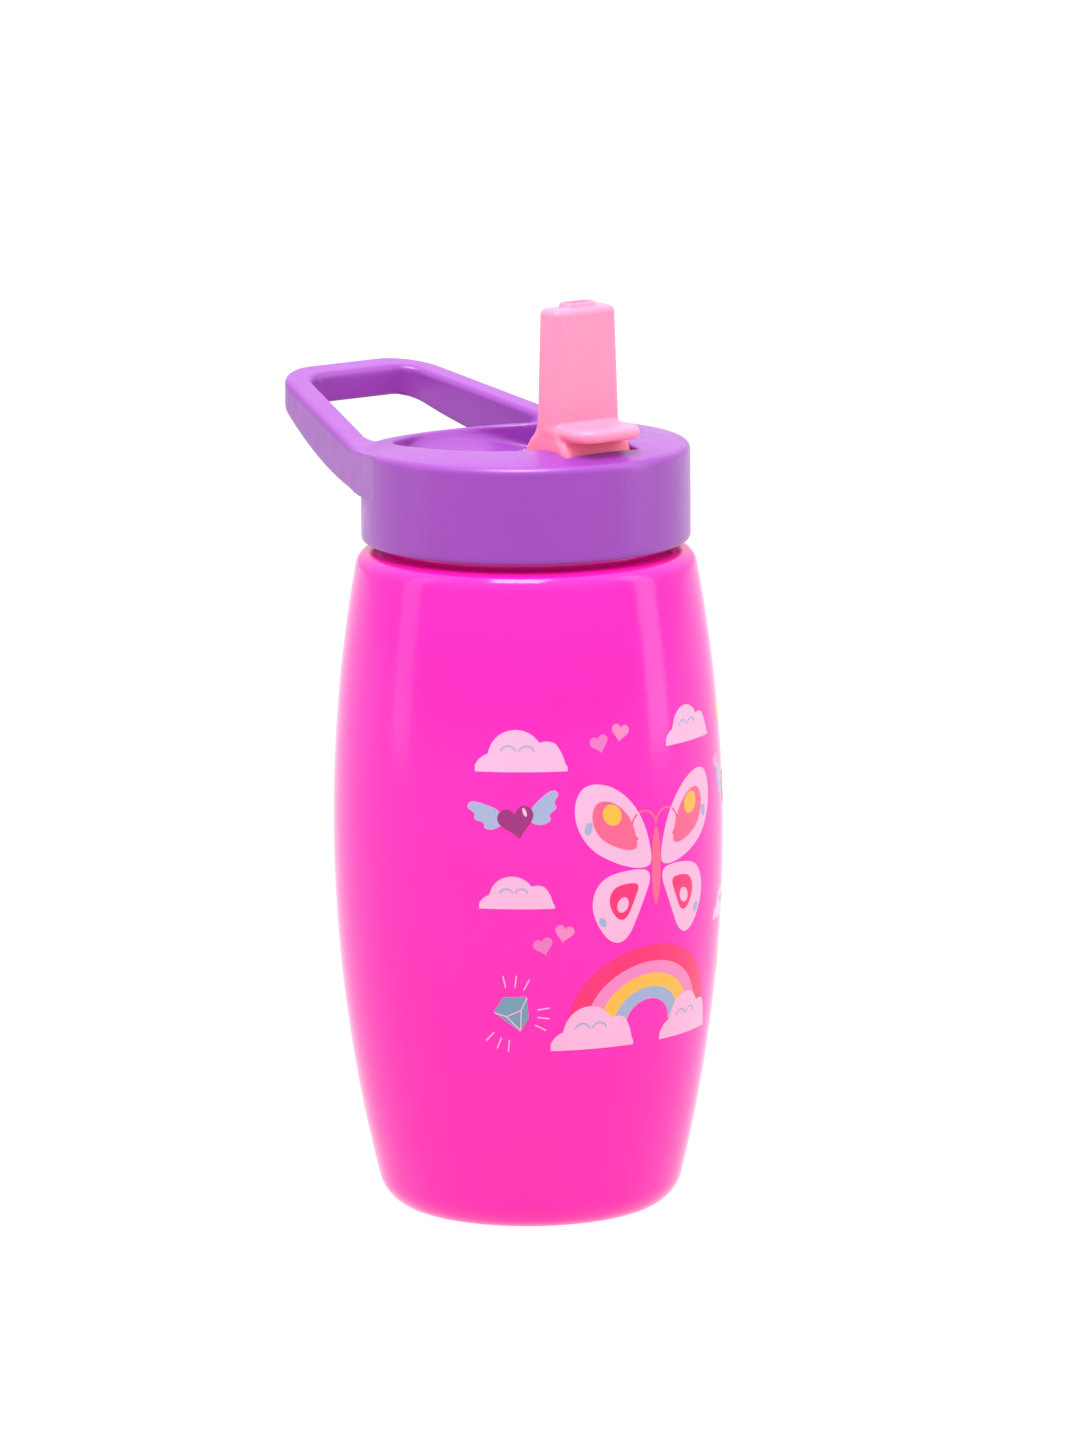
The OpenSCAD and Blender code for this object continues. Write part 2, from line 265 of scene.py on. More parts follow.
def moulded(name, colour, deep, roughness, grain_scale, grain_depth, **settings):
    """Moulded plastic or silicone: faint flow marks in the colour, a worn sheen and a fine grain."""
    material, shader = new_material(name, colour, roughness, **settings)
    link = material.node_tree.links.new
    flow = noise(material, FLOW_SCALE, detail=2)
    mix = add_node(material, "ShaderNodeMix")
    mix.data_type = "RGBA"
    mix.inputs[MIX_A].default_value = (*colour, 1)
    mix.inputs[MIX_B].default_value = (*deep, 1)
    link(spread(material, flow.outputs["Fac"], 0, 1), mix.inputs[MIX_FACTOR])
    link(mix.outputs[MIX_RESULT], shader.inputs["Base Color"])
    wear = noise(material, WEAR_SCALE, detail=5, roughness=0.65)
    worn = spread(material, wear.outputs["Fac"], roughness * 0.85, roughness * 1.2)
    link(worn, shader.inputs["Roughness"])
    fine = noise(material, grain_scale, detail=2)
    bump = add_node(material, "ShaderNodeBump", Height=fine.outputs["Fac"],
                    Strength=1.0, Distance=grain_depth)
    link(bump.outputs["Normal"], shader.inputs["Normal"])
    return material


PINK = (0.97, 0.008, 0.36)
PURPLE = (0.235, 0.028, 0.33)
SOFT_PINK = (0.95, 0.19, 0.34)
INKS = {
    "pale": (0.74, 0.34, 0.52),
    "blush": (0.68, 0.17, 0.38),
    "coral": (0.72, 0.08, 0.19),
    "rose": (0.72, 0.003, 0.12),
    "lilac": (0.60, 0.13, 0.38),
    "plum": (0.24, 0.003, 0.13),
    "yellow": (0.76, 0.36, 0.03),
    "slate": (0.27, 0.31, 0.47),
    "teal": (0.13, 0.24, 0.33),
}


def make_materials():
    """Every material, keyed by a short name."""
    look = {
        "body": moulded("body_gloss", PINK, (0.95, 0.007, 0.34), 0.13, 900, 0.000012,
                        Specular_IOR_Level=0.35),
        "lid": moulded("lid_satin", PURPLE, (0.222, 0.025, 0.315), 0.32, 5200, 0.00001,
                       Sheen_Weight=0.05),
        "liner": moulded("liner_satin", (0.33, 0.08, 0.46), (0.3, 0.07, 0.43), 0.45, 4200, 0.00001),
        "spout": moulded("spout_silicone", SOFT_PINK, (0.95, 0.2, 0.34), 0.42, 3800, 0.000008,
                         Sheen_Weight=0.1, Subsurface_Weight=0.12, Subsurface_Scale=0.002),
        "silicone": moulded("seal_silicone", (0.82, 0.79, 0.82), (0.78, 0.74, 0.78), 0.5, 3000, 0.00001,
                            Subsurface_Weight=0.2, Subsurface_Scale=0.002),
        "pivot": moulded("pivot_plastic", (0.84, 0.80, 0.85), (0.8, 0.77, 0.82), 0.4, 3600, 0.00001),
        "straw": moulded("straw_plastic", (0.86, 0.80, 0.86), (0.83, 0.78, 0.84), 0.3, 2400, 0.00001),
    }
    for ink, colour in INKS.items():
        faded = tuple(0.94 * c for c in colour)
        look[ink] = moulded("ink_" + ink, colour, faded, 0.24, 2600, 0.000006)
    return look


def dress(piece, material):
    """Gives a piece one material in place of any that it has."""
    piece.data.materials.clear()
    piece.data.materials.append(material)
    return piece


# ---------------------------------------------------------------- bottle body

BODY_R = BODY_HIGH.x
WAIST_Z = 73.8
SIDE_CURVE_R = 283
SHOULDER_Z = 128.3
NECK_R = 27.2
NECK_TOP_Z = BODY_HIGH.z
NECK_WALL = 1.8
NECK_LIP = 0.7
NECK_ROOT = 0.8
WALL = 1.7
FLOOR_THICKNESS = 2.6
BASE_FILLET = 8
SHOULDER_FILLET = 3.6
# A section stops this far from the axis, and the small hole is capped
AXIS_GAP = 0.02
# The shell is this much inside the CAD body, which leaves room for the print
PRINT_HEIGHT = 0.08

THREAD_TURNS = 1.2
THREAD_LEAD = 4.0
THREAD_Z = 131.2
THREAD_DEPTH = 0.9
THREAD_HALF_HEIGHT = 0.95
# The share of the thread's length over which each end fades out
THREAD_FADE = 0.06


def side_centre():
    """How far the centre of the side's long curve is from the axis."""
    return BODY_R - SIDE_CURVE_R


def side_radius(z, inset=0.0):
    """The body's outer radius at a height on its long curve."""
    return side_centre() + np.sqrt((SIDE_CURVE_R - inset) ** 2 - (z - WAIST_Z) ** 2)


def wall_outline(inset, floor_z, low_fillet, high_fillet, neck_r):
    """One side of the body's wall from the middle of the base up to the neck."""
    r = SIDE_CURVE_R - inset
    top_z = SHOULDER_Z - inset
    low_z, high_z = floor_z + low_fillet, top_z - high_fillet
    low_x = side_centre() + math.sqrt((r - low_fillet) ** 2 - (low_z - WAIST_Z) ** 2)
    high_x = side_centre() + math.sqrt((r - high_fillet) ** 2 - (high_z - WAIST_Z) ** 2)
    low_angle = math.degrees(math.asin((low_z - WAIST_Z) / (r - low_fillet)))
    high_angle = math.degrees(math.asin((high_z - WAIST_Z) / (r - high_fillet)))
    return (
        [(low_x * i / 8, floor_z) for i in range(1, 8)]
        + arc((low_x, low_z), low_fillet, -90, low_angle, 12)
        + arc((side_centre(), WAIST_Z), r, low_angle, high_angle, 90)[1:-1]
        + arc((high_x, high_z), high_fillet, high_angle, 90, 10)
        + arc((neck_r + NECK_ROOT, top_z + NECK_ROOT), NECK_ROOT, 270, 180, 5)
    )


def body_outline():
    """The whole wall's section, from the base's centre out, up, over the rim and down the inside."""
    bore = NECK_R - NECK_WALL
    outer = wall_outline(PRINT_HEIGHT, 0, BASE_FILLET, SHOULDER_FILLET, NECK_R)
    rim = (arc((NECK_R - NECK_LIP, NECK_TOP_Z - NECK_LIP), NECK_LIP, 0, 90, 5)
           + arc((bore + NECK_LIP, NECK_TOP_Z - NECK_LIP), NECK_LIP, 90, 180, 5))
    inner = wall_outline(WALL, FLOOR_THICKNESS, BASE_FILLET - WALL, SHOULDER_FILLET - WALL, bore)
    inner = [(r, z) for r, z in inner if r > bore - 0.05 or z < SHOULDER_Z - 10]
    return [(AXIS_GAP, 0)] + outer + rim + inner[::-1] + [(AXIS_GAP, FLOOR_THICKNESS)]


def thread_ridge():
    """The raised thread on the neck, fading out at both ends."""
    steps = 150
    section = 9
    points = []
    for i in range(steps + 1):
        along = i / steps
        turn = 2 * math.pi * THREAD_TURNS * along
        ends = min(1, along / THREAD_FADE, (1 - along) / THREAD_FADE)
        fade = math.sin(math.pi / 2 * ends) ** 0.5 if 0 < along < 1 else 0.02
        for k in range(section):
            side = math.pi * (k / (section - 1) - 0.5)
            buried = k in (0, section - 1)
            r = NECK_R + (-0.3 if buried else THREAD_DEPTH * fade * math.cos(side) ** 0.6)
            rise = THREAD_HALF_HEIGHT * math.sin(side) * (0.5 + 0.5 * fade)
            z = THREAD_Z + THREAD_LEAD * THREAD_TURNS * along + rise
            points.append((r * math.cos(turn), r * math.sin(turn), z))
    quads = []
    for i in range(steps):
        for k in range(section):
            a, b = i * section + k, i * section + (k + 1) % section
            quads.append((a, a + section, b + section, b))
    piece = mesh_object("neck_thread", points, quads)
    close_holes(piece)
    return piece


def close_holes(piece):
    """Caps open ends and makes every face point outwards."""
    shape = bmesh.new()
    shape.from_mesh(piece.data)
    bmesh.ops.holes_fill(shape, edges=[e for e in shape.edges if e.is_boundary], sides=0)
    bmesh.ops.recalc_face_normals(shape, faces=shape.faces)
    shape.to_mesh(piece.data)
    shape.free()


def make_body(look):
    """The bottle's shell and its thread."""
    body = dress(revolve("bottle_shell", body_outline(), 240), look["body"])
    close_holes(body)
    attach(body, "bottle")
    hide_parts("bottle_body")
    ridge = dress(thread_ridge(), look["body"])
    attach(ridge, "bottle")


# ---------------------------------------------------------------- print on the body
# Outlines are lists of (across, up) points in millimetres: across runs round the body from its front.
# A motif is a list of (ink, level, outline), and a higher level lies on top of a lower one.

PRINT_LEVELS = 3
PRINT_SINK = 0.05
CUT_STEP = 2.0
THIN_LINE = 0.25
ARCH_STRETCH = 1.2

def ellipse(across, up, half_w, half_h, turn=0.0):
    """An ellipse, turned by an angle in degrees."""
    t = np.linspace(0, 2 * math.pi, 37)[:-1]
    c, s = math.cos(math.radians(turn)), math.sin(math.radians(turn))
    a, b = half_w * np.cos(t), half_h * np.sin(t)
    return list(zip(across + a * c - b * s, up + a * s + b * c))


def smooth(points, rounds=3):
    """Cuts the corners of a closed outline until it is smooth."""
    p = np.array(points, dtype=float)
    for _ in range(rounds):
        after = np.roll(p, -1, 0)
        p = np.stack([0.75 * p + 0.25 * after, 0.25 * p + 0.75 * after], 1).reshape(-1, 2)
    return [tuple(q) for q in p]


def placed(outline, across, up, size=1.0, turn=0.0, flip=1):
    """A copy of an outline, scaled, turned and moved."""
    c, s = math.cos(math.radians(turn)), math.sin(math.radians(turn))
    return [
        (across + size * (flip * a * c - b * s), up + size * (flip * a * s + b * c))
        for a, b in outline
    ]


def heart(across, up, size, turn=0.0):
    """A heart of a width, from the usual curve."""
    t = np.linspace(0, 2 * math.pi, 41)[:-1]
    a = np.sin(t) ** 3
    b = (13 * np.cos(t) - 5 * np.cos(2 * t) - 2 * np.cos(3 * t) - np.cos(4 * t)) / 16
    return placed(list(zip(a, b)), across, up, size / 2, turn)


# Each puff of a cloud: its centre, height and half width, as shares of the cloud's width and height
PUFFS = (
    (-0.36, 0.42, 0.2), (-0.06, 1.0, 0.3), (0.27, 0.72, 0.2),
    (0.42, 0.28, 0.1), (-0.46, 0.25, 0.08),
)


def cloud(across, up, width, height):
    """Round puffs on a flat base. up is the height of the base."""
    a = np.linspace(-0.5, 0.5, 61)
    top = np.full(a.shape, 0.1)
    for centre, rise, half in PUFFS:
        inside = np.clip(1 - ((a - centre) / half) ** 2, 0, None)
        top = np.maximum(top, rise * np.where(inside > 0, 0.35 + 0.65 * np.sqrt(inside), 0))
    top = np.maximum(top * np.clip(4 - 8 * np.abs(a), 0.05, 1) ** 0.25, 0.05)
    points = [(-0.5, 0.0)] + list(zip(a, top)) + [(0.5, 0.0)]
    return [(across + width * p, up + height * q) for p, q in points]


def stroke(points, width):
    """A thin line of even width along a few points."""
    p = np.array(points, dtype=float)
    along = np.gradient(p, axis=0)
    side = np.stack([-along[:, 1], along[:, 0]], 1) / np.hypot(*along.T)[:, None] * width / 2
    return [tuple(q) for q in np.concatenate([p + side, (p - side)[::-1]])]


def curl(across, up, radius, start, end, width):
    """A stroke along part of a circle."""
    t = np.radians(np.linspace(start, end, 12))
    return stroke(list(zip(across + radius * np.cos(t), up + radius * np.sin(t))), width)


def band(across, up, inner, outer):
    """One stripe of an arch."""
    t = np.radians(np.linspace(0, 180, 40))
    ring = [(across + ARCH_STRETCH * outer * math.cos(a), up + outer * math.sin(a)) for a in t]
    return ring + [
        (across + ARCH_STRETCH * inner * math.cos(a), up + inner * math.sin(a)) for a in t[::-1]]


def star(across, up, size):
    """A star with five blunt points."""
    t = np.radians(90 + 36 * np.arange(10))
    reach = np.where(np.arange(10) % 2 == 0, 1, 0.48) * size / 2
    return smooth(list(zip(across + reach * np.cos(t), up + reach * np.sin(t))), 2)


UPPER_WING = smooth([(0.8, 1), (4, 12), (11, 19), (19, 20), (21.5, 13), (18, 5), (10, 0.5), (3, -1)])
LOWER_WING = smooth([(0.8, -1.5), (7, -0.5), (15, -2), (17.5, -9), (13, -17), (8, -17.5), (4, -9)])
FEATHERS = smooth([
    (0, -1.2), (2.2, -2), (4, -1.4), (3.6, -0.2), (5.6, 0.6),
    (5, 1.8), (6.6, 3.2), (5.4, 4.4), (2.4, 3), (0, 1.2),
], 2)


def butterfly(across, up, size):
    """A plain butterfly: two wings a side with round spots."""
    parts = [("coral", 1, ellipse(0, -0.5, 1.3, 9))]
    for flip in (-1, 1):
        parts += [
            ("pale", 0, placed(UPPER_WING, 0, 0, 1, 0, flip)),
            ("pale", 0, placed(LOWER_WING, 0, 0, 1, 0, flip)),
            ("coral", 1, placed(UPPER_WING, flip * 4.6, 4.2, 0.58, 0, flip)),
            ("rose", 1, placed(LOWER_WING, flip * 4.2, -3.4, 0.5, 0, flip)),
            ("yellow", 2, ellipse(flip * 11.8, 12.3, 2.2, 2.6, -35 * flip)),
            ("pale", 2, ellipse(flip * 9.2, -8.6, 1.4, 1.8, 25 * flip)),
            ("slate", 1, ellipse(flip * 17.6, 9.6, 0.9, 1.5, 15 * flip)),
            ("slate", 1, ellipse(flip * 14.2, -12.2, 0.8, 1.2, -30 * flip)),
            ("coral", 0, curl(flip * 3.4, 9, 3.4, 90 - 150 * flip, 90 + 90 * flip, 0.5)),
        ]
    return [(ink, level, placed(outline, across, up, size)) for ink, level, outline in parts]


def winged_heart(across, up, ink, turn):
    """A heart with a highlight and a pair of feathered wings."""
    parts = [
        (ink, 1, heart(across, up, 7, turn)),
        ("pale", 2, ellipse(across + 1.6, up + 1.7, 0.35, 0.9, 20)),
    ]
    for flip in (-1, 1):
        parts.append(("slate", 0, placed(FEATHERS, across + flip * 2.6, up + 0.6, 1, turn, flip)))
    return parts


GEM = [(-3.6, 0.2), (-1.6, 3.2), (3, 3.4), (3.4, -0.8), (1.8, -3.6)]
GEM_EDGES = (
    [(-3.4, 0.1), (-1, -0.6), (1.9, 0.7), (3.1, 3.1)],
    [(-1, -0.6), (1.7, -3.3)],
    [(1.9, 0.7), (1.8, -3.2)],
)
# The directions of the gem's sparkle lines in degrees, and how far from its middle they start and end
RAYS = (62, 82, 102, -8, 8, -26, 226, 246, 264)
RAY_START, RAY_END = 5.2, 7.6


def gem(across, up):
    """A cut gem with sparkle lines round it."""
    parts = [("teal", 0, placed(GEM, across, up))]
    for edge in GEM_EDGES:
        parts.append(("pale", 1, placed(stroke(edge, THIN_LINE), across, up)))
    for turn in RAYS:
        a, b = math.cos(math.radians(turn)), math.sin(math.radians(turn))
        ray = [(across + reach * a, up + reach * b) for reach in (RAY_START, RAY_END)]
        parts.append(("pale", 0, stroke(ray, THIN_LINE)))
    return parts


def arch(across, up):
    """A striped arch standing on two clouds."""
    stripes = (("rose", 12.0, 15.2), ("blush", 9.6, 12.0), ("yellow", 7.0, 9.6), ("slate", 4.6, 7.0))
    parts = [(ink, 0, band(across, up, inner, outer)) for ink, inner, outer in stripes]
    for side, width in ((-12.5, 18), (12, 17)):
        parts += cloud_parts(across + side, up - 4, width, 8.5, 1)
    return parts


def cloud_parts(across, up, width, height, level=0):
    """A cloud with two small curls on it."""
    parts = [("pale", level, cloud(across, up, width, height))]
    for side in (-0.14, 0.06):
        line = curl(across + side * width, up + 0.42 * height, 0.09 * width, 20, 160, 0.3)
        parts.append(("slate", level + 1, line))
    return parts


# across, up, width and height
CLOUDS = ((-24.5, 91.3, 18, 8), (14.2, 94, 15, 7), (-25.5, 65, 14.5, 6.3), (31, 57.3, 14, 6))
# ink, across, up and turn
SMALL_HEARTS = (
    ("lilac", -9, 96.2, 15), ("blush", -4.4, 98, -12), ("lilac", -20.5, 57.8, 15),
    ("blush", -16.4, 60.2, -12), ("blush", 26, 88, 10),
)
# across and up
STARS = ((31.5, 97), (33, 48))


def all_prints():
    """Every printed motif, spread round the front of the body."""
    parts = butterfly(3.2, 72, 0.84) + arch(2.5, 41)
    parts += winged_heart(-25.5, 82, "plum", 12) + winged_heart(34, 82, "coral", -12)
    parts += gem(-26.8, 44.5)
    for across, up, width, height in CLOUDS:
        parts += cloud_parts(across, up, width, height)
    for ink, across, up, turn in SMALL_HEARTS:
        parts.append((ink, 0, heart(across, up, 3.8, turn)))
    for across, up in STARS:
        parts.append(("yellow", 0, star(across, up, 6)))
    return parts


def wrapped(outline, level):
    """A thin closed solid of one outline, cut fine enough to lie on the curved body."""
    shape = bmesh.new()
    shape.faces.new([shape.verts.new((a, b, 0)) for a, b in outline])
    bmesh.ops.triangulate(shape, faces=shape.faces)
    points = np.array(outline)
    for axis in (0, 1):
        first = math.floor(points[:, axis].min()) + 1
        for cut in np.arange(first, points[:, axis].max(), CUT_STEP):
            spot, normal = [0, 0, 0], [0, 0, 0]
            spot[axis], normal[axis] = cut, 1
            bmesh.ops.bisect_plane(shape, geom=shape.verts[:] + shape.edges[:] + shape.faces[:],
                                   plane_co=spot, plane_no=normal, dist=1e-5)
    top = PRINT_HEIGHT * (level + 1) / PRINT_LEVELS
    lifted = bmesh.ops.extrude_face_region(shape, geom=shape.faces[:])["geom"]
    for vertex in (g for g in lifted if isinstance(g, bmesh.types.BMVert)):
        vertex.co.z = top
    for vertex in shape.verts:
        across, up, lift = vertex.co
        depth = lift - PRINT_HEIGHT if lift > 0 else -PRINT_HEIGHT - PRINT_SINK
        angle = across / BODY_R - math.pi / 2
        r = side_radius(up) + depth
        vertex.co = (r * math.cos(angle) * MM, r * math.sin(angle) * MM, up * MM)
    bmesh.ops.recalc_face_normals(shape, faces=shape.faces)
    return shape


def make_prints(look):
    """One mesh for each ink, with all its motifs."""
    by_ink = {}
    for ink, level, outline in all_prints():
        by_ink.setdefault(ink, []).append((outline, level))
    for ink, entries in by_ink.items():
        mesh = bpy.data.meshes.new("print_" + ink)
        whole = bmesh.new()
        for outline, level in entries:
            shape = wrapped(outline, level)
            shape.to_mesh(mesh)
            whole.from_mesh(mesh)
            shape.free()
        whole.to_mesh(mesh)
        whole.free()
        piece = dress(bpy.data.objects.new("print_" + ink, mesh), look[ink])
        bpy.context.scene.collection.objects.link(piece)
        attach(piece, "bottle")


# ---------------------------------------------------------------- lid

LID_R = 31.5
LID_Z = LID_LOW.z
LID_WALL = 1.9
CROWN_Z = 150.8
TILT = 0.02
DIP, DIP_START, DIP_BEND = 0.09, -2, 8
BROW_R = 25
BROW_ANGLE = math.radians(22.6)
RECESS_R, RECESS_LOW_R = 23.5, 23.8
RECESS_Y = 3
RECESS_FLOOR = 142
RECESS_STEP_Z = 143.3
RAMP_Y, RAMP_SLOPE = 20.4, 0.75
CUP_WALL = 1.6
HOUSING_WALL = 1.5
LAND_TOP_Z, LAND_R = 141.7, 25.3
POCKET_R = 7.7
POCKET_HALF = 8.2
CHEEK_R, CHEEK_T = 2.6, 2.3
LOOP_ANGLE = math.radians(15)
LOOP_END = LID_HIGH.y
LOOP_ARM, LOOP_BAR = 5.5, 5.4
LOOP_CORNER, LOOP_INNER_CORNER = 8, 3.5
LOOP_LOW_Z, LOOP_LOW_Y, LOOP_LOW_R = 138.8, 8, 108
LOOP_TOP_Z, LOOP_RISE_Y, LOOP_BEND, LOOP_RISE = 147.5, 12, 12, 0.21


def bent(past, bend):
    """A slope of 1 that starts from level through a bend of a length."""
    return np.where(past < bend, past ** 2 / (2 * bend), past - bend / 2)


def lid_top(y):
    """Height of the lid's top in the middle: a faint tilt, a bend, then a dip to the back."""
    past = np.maximum(y - DIP_START, 0)
    return CROWN_Z - TILT * (y + LID_R) - DIP * bent(past, DIP_BEND)


def top_field(r, y, z):
    """Below the lid's top and its sloping brow."""
    brow = (r - BROW_R) * math.sin(BROW_ANGLE) + (z - CROWN_Z) * math.cos(BROW_ANGLE)
    return round_and(brow, z - lid_top(y), 3)


def loop_low(y):
    """The loop's lower edge: level at the lid, then curving up."""
    return LOOP_LOW_Z + np.maximum(y - LOOP_LOW_Y, 0) ** 2 / (2 * LOOP_LOW_R)


def loop_high(y):
    """The loop's upper edge: level at the lid, a bend, then a straight rise."""
    return LOOP_TOP_Z + LOOP_RISE * bent(np.maximum(y - LOOP_RISE_Y, 0), LOOP_BEND)


def loop_plan(x, y, inset, end_y, corner):
    """The loop's outside or inside seen from above: tapering sides and a round end."""
    side = np.abs(x) * math.cos(LOOP_ANGLE) + y * math.sin(LOOP_ANGLE) - (LID_R - inset)
    return round_and(side, y - end_y, corner)


def loop_field(x, y, z):
    """The carry loop, with its root just inside the lid's side."""
    outside = loop_plan(x, y, 0, LOOP_END, LOOP_CORNER)
    inside = loop_plan(x, y, LOOP_ARM, LOOP_END - LOOP_BAR, LOOP_INNER_CORNER)
    high = z - loop_high(y)
    bar = round_and(round_and(outside, high, 1.3), -inside, 1.1)
    bar = round_and(bar, loop_low(y) - z, 0.8)
    start = LID_R * math.sin(LOOP_ANGLE) - y
    return np.maximum(np.maximum(bar, start), LID_R - 1.2 - np.hypot(x, y))


def with_loop(x, y, z, drum):
    """The drum with the loop grown onto its back, filled in only where the two meet at an angle."""
    loop = loop_field(x, y, z)
    joined = round_or(drum, loop, 2.5)
    outline = np.minimum(np.hypot(x, y) - LID_R, loop_plan(x, y, 0, LOOP_END, LOOP_CORNER))
    over = np.minimum(z - loop_high(y), top_field(np.hypot(x, y), y, z))
    under = loop_low(y) - z
    filled = np.maximum(np.maximum(joined, outline), np.maximum(over, under))
    return np.minimum(np.minimum(drum, loop), filled)


def cheek_field(x, y, z):
    """The uprights beside the barrel that hold the pivot's pins."""
    round_top = np.hypot(y - HINGE_Y, np.maximum(z - HINGE_Z, 0)) - CHEEK_R
    return round_and(round_top, np.abs(x) - POCKET_HALF - CHEEK_T, 0.5)


def recess_field(x, y, z):
    """The round recess with its ramp, and the pocket for the spout's barrel."""
    ramp = (RECESS_FLOOR + (y - RAMP_Y) * RAMP_SLOPE - z) * math.cos(math.atan(RAMP_SLOPE))
    floor = round_and(RECESS_FLOOR - z, ramp, 3)
    side = np.hypot(x, y - RECESS_Y) - RECESS_R
    low_side = np.maximum(np.hypot(x, y) - RECESS_LOW_R, z - RECESS_STEP_Z)
    side = np.where(z < RECESS_STEP_Z, np.maximum(side, low_side), side)
    bowl = np.maximum(round_and(side, floor, 1), -cheek_field(x, y, z))
    channel = np.hypot(y - HINGE_Y, np.minimum(z - HINGE_Z, 0)) - POCKET_R
    pocket = np.maximum(channel, np.abs(x) - POCKET_HALF)
    return np.minimum(bowl, pocket)


def inner_walls(x, y, z):
    """The cup under the recess and the housing round the barrel."""
    cup = np.maximum(np.hypot(x, y - RECESS_Y) - RECESS_R - CUP_WALL, RECESS_FLOOR - CUP_WALL - z)
    housing = np.maximum(
        np.hypot(y - HINGE_Y, np.minimum(z - HINGE_Z, 0)) - POCKET_R - CUP_WALL,
        np.abs(x) - POCKET_HALF - HOUSING_WALL)
    low = np.where(z < LAND_TOP_Z, np.hypot(x, y) - LAND_R, -9)
    return np.maximum(np.minimum(cup, housing), low)


def lid_field(x, y, z):
    """The hollow lid with its loop, recess and inner walls."""
    r = np.hypot(x, y)
    top = top_field(r, y, z)
    drum = round_and(round_and(r - LID_R, top, 1.1), LID_Z - z, 1)
    solid = with_loop(x, y, z, drum)
    hollow = np.maximum(np.maximum(r - (LID_R - LID_WALL), top + LID_WALL), -inner_walls(x, y, z))
    solid = np.maximum(solid, -hollow)
    return round_and(solid, -recess_field(x, y, z), 0.8)


def make_lid(look):
    """The lid's moulding."""
    cell = 0.45
    lid = dress(field_mesh("lid_shell", lid_field, LID_LOW, LID_HIGH, cell), look["lid"])
    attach(lid, "lid")
    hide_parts("lid")


# ---------------------------------------------------------------- spout

STEM_TOP = 176.7
STEM_HALF_T = 3.45
# How much narrower and thinner the stem is at its top, on each side
TAPER_W, TAPER_T = 0.7, 0.5
RIM_TOP = SPOUT_HIGH.z
RIM_ROOT_Z = 170
HOLE_BOTTOM_Z = 168
HOLE_HALF_LENGTH, RIM_R, HOLE_R = 1.9, 1.9, 1.0
BARREL_R = 7.4
SPOUT_HALF = SPOUT_HIGH.x
WEB_START, WEB_R = 3.35, 4.5
TAB_Y, TAB_Z = -25.3, 153.35
TAB_END_X, TAB_END_R = 3.5, 4.1
TAB_HALF_W, TAB_HALF_T = 7.5, 1.25


def web_field(back, z):
    """The concave web that runs tangent from the stem's back onto the barrel."""
    centre = WEB_START + WEB_R
    up = math.sqrt((BARREL_R + WEB_R) ** 2 - centre ** 2)
    touch = centre * BARREL_R / (BARREL_R + WEB_R)
    rise = z - HINGE_Z
    block = np.maximum(np.maximum(WEB_START - 1 - back, back - touch), np.maximum(3 - rise, rise - up))
    return np.maximum(block, WEB_R - np.hypot(back - centre, rise - up))


def stem_side(back, z):
    """The stem and barrel seen from the side, before their width is cut."""
    rise = np.clip((z - HINGE_Z) / (STEM_TOP - HINGE_Z), 0, 1)
    stem = np.maximum(np.abs(back) - (STEM_HALF_T - TAPER_T * rise), HINGE_Z - z)
    barrel = np.hypot(back, z - HINGE_Z) - BARREL_R
    webbed = np.minimum(np.minimum(stem, barrel), web_field(back, z))
    return np.where(back > 0, webbed, round_or(stem, barrel, 1.5))


def tab_field(x, y, z):
    """The thumb tab: a flat tongue with a round front."""
    plan = np.minimum(
        capsule(x, y - TAB_Y, TAB_END_X, TAB_END_R),
        np.maximum(np.abs(x) - TAB_HALF_W, np.maximum(TAB_Y - y, y - HINGE_Y)))
    return round_and(plan, np.abs(z - TAB_Z) - TAB_HALF_T, 1.2)


def spout_field(x, y, z):
    """The whole mouthpiece, with the mouth of its drinking hole."""
    back = y - HINGE_Y
    rise = np.clip((z - HINGE_Z) / (STEM_TOP - HINGE_Z), 0, 1)
    half_w = SPOUT_HALF - TAPER_W * rise
    shape = round_and(stem_side(back, z), np.abs(x) - half_w, 1.5)
    shape = round_and(shape, z - STEM_TOP, 1.3)
    rim = round_and(capsule(x, back, HOLE_HALF_LENGTH, RIM_R), z - RIM_TOP, 0.5)
    shape = round_or(shape, np.maximum(rim, RIM_ROOT_Z - z), 0.5)
    shape = round_or(shape, tab_field(x, y, z), 0.8)
    hole = np.maximum(capsule(x, back, HOLE_HALF_LENGTH, HOLE_R), HOLE_BOTTOM_Z - z)
    return round_and(shape, -hole, 0.35)


def make_spout(look):
    """The silicone mouthpiece."""
    cell = 0.25
    spout = dress(field_mesh("spout_skin", spout_field, SPOUT_LOW, SPOUT_HIGH, cell), look["spout"])
    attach(spout, "spout")
    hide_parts("spout")


def dress_cad_nodes(look):
    """The pieces whose CAD shape is right take a finished material."""
    for name, key in {
        "lid_liner": "liner", "lid_gasket": "silicone", "spout_pivot": "pivot", "spout_seal": "silicone",
        "straw_connector": "pivot", "straw": "straw", "vent_valve": "silicone",
    }.items():
        dress(frame["nodes"][name], look[key])


# ---------------------------------------------------------------- studio

CAMERA_AZIMUTH = math.radians(-35.5)
CAMERA_DISTANCE = 2163
CAMERA_HEIGHT = 500
CAMERA_ROLL = math.radians(-0.42)
AIM_RIGHT, AIM_Z = 2.42, 94.4
SENSOR = 36
LENS = 286.9

FLOOR_REACH = 6000
FLOOR_DROP = 0.2
FLOOR_GLOW = 0.95
SKY_LOW, SKY_HIGH = 0.72, 2.0
AIM = (0, 0, 80)


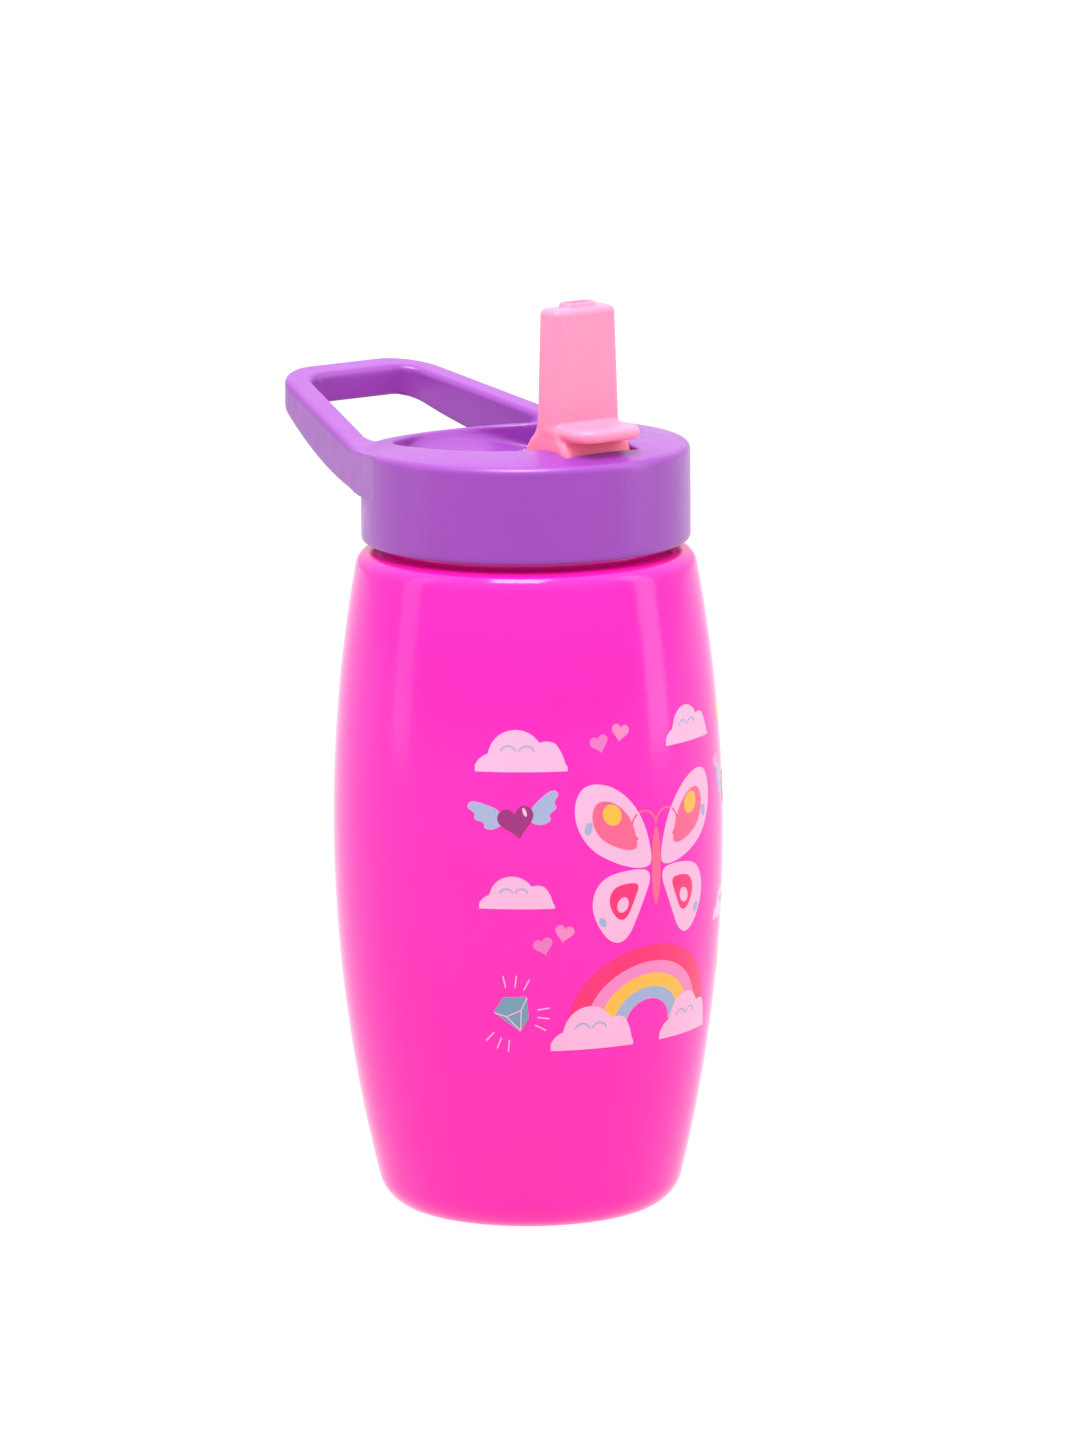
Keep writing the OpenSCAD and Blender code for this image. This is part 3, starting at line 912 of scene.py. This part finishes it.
def view_frame():
    """Unit vectors to the right of the view and straight into it, both level."""
    ahead = Vector((-math.sin(CAMERA_AZIMUTH), math.cos(CAMERA_AZIMUTH), 0))
    right = Vector((ahead.y, -ahead.x, 0))
    return right, ahead


def make_camera():
    """A long lens, ahead of the bottle and a little above it."""
    right, ahead = view_frame()
    aim = right * AIM_RIGHT + Vector((0, 0, AIM_Z))
    place = Vector((0, 0, CAMERA_HEIGHT)) - ahead * CAMERA_DISTANCE
    look_dir = (aim - place).normalized()
    side = look_dir.cross(Vector((0, 0, 1))).normalized()
    up = side.cross(look_dir)
    c, s = math.cos(CAMERA_ROLL), math.sin(CAMERA_ROLL)
    side, up = side * c + up * s, up * c - side * s
    data = bpy.data.cameras.new("photo_camera")
    data.sensor_fit = "VERTICAL"
    data.sensor_height = SENSOR
    data.lens = LENS
    data.clip_end = 50
    camera = bpy.data.objects.new("photo_camera", data)
    turn = Matrix((side, up, -look_dir)).transposed().to_4x4()
    camera.matrix_world = Matrix.Translation(place * MM) @ turn
    bpy.context.scene.collection.objects.link(camera)
    bpy.context.scene.camera = camera


def spot(right_by, ahead_by, up_by):
    """A place in metres from steps to the right of the view, into it and up, in millimetres."""
    right, ahead = view_frame()
    return (right * right_by + ahead * ahead_by + Vector((0, 0, up_by))) * MM


def add_softbox(name, place, size, power):
    """A rectangular light that faces the bottle. place is (right, ahead, up) from the bottle's base."""
    data = bpy.data.lights.new(name, "AREA")
    data.shape = "RECTANGLE"
    data.size, data.size_y = size[0] * MM, size[1] * MM
    data.energy = power
    lamp = bpy.data.objects.new(name, data)
    lamp.location = spot(*place)
    lamp.rotation_euler = (spot(*AIM) - spot(*place)).to_track_quat("-Z", "Y").to_euler()
    bpy.context.scene.collection.objects.link(lamp)


def make_floor():
    """A plain white floor that fills the view."""
    reach = FLOOR_REACH * MM
    corners = [(-reach, -reach, 0), (reach, -reach, 0), (reach, reach, 0), (-reach, reach, 0)]
    mesh = bpy.data.meshes.new("floor")
    mesh.from_pydata(corners, [], [(0, 1, 2, 3)])
    floor = bpy.data.objects.new("floor", mesh)
    floor.location.z = -FLOOR_DROP * MM
    bpy.context.scene.collection.objects.link(floor)
    material, shader = new_material("floor_white", (0.12, 0.12, 0.12), 0.9)
    shader.inputs["Specular IOR Level"].default_value = 0.0
    shader.inputs["Emission Color"].default_value = (1, 1, 1, 1)
    shader.inputs["Emission Strength"].default_value = FLOOR_GLOW
    dress(floor, material)


def make_sky():
    """Soft light from all round, brighter overhead."""
    world = bpy.data.worlds.new("studio")
    world.use_nodes = True
    nodes, links = world.node_tree.nodes, world.node_tree.links
    place = nodes.new("ShaderNodeTexCoord")
    split = nodes.new("ShaderNodeSeparateXYZ")
    rise = nodes.new("ShaderNodeMapRange")
    rise.inputs["To Min"].default_value = SKY_LOW
    rise.inputs["To Max"].default_value = SKY_HIGH
    links.new(place.outputs["Generated"], split.inputs[0])
    links.new(split.outputs["Z"], rise.inputs["Value"])
    links.new(rise.outputs["Result"], nodes["Background"].inputs["Strength"])
    nodes["Background"].inputs["Color"].default_value = (1, 1, 1, 1)
    bpy.context.scene.world = world


def make_studio():
    """The floor, the soft light and three soft boxes."""
    make_floor()
    make_sky()
    bpy.context.scene.view_settings.view_transform = "Standard"
    add_softbox("top_softbox", (-60, -330, 1050), (420, 420), 9)
    add_softbox("left_softbox", (-950, -150, 420), (260, 1100), 1.0)
    add_softbox("right_softbox", (950, -80, 420), (300, 1100), 2.2)


look = make_materials()
make_camera()
make_studio()
make_body(look)
make_prints(look)
make_lid(look)
make_spout(look)
dress_cad_nodes(look)
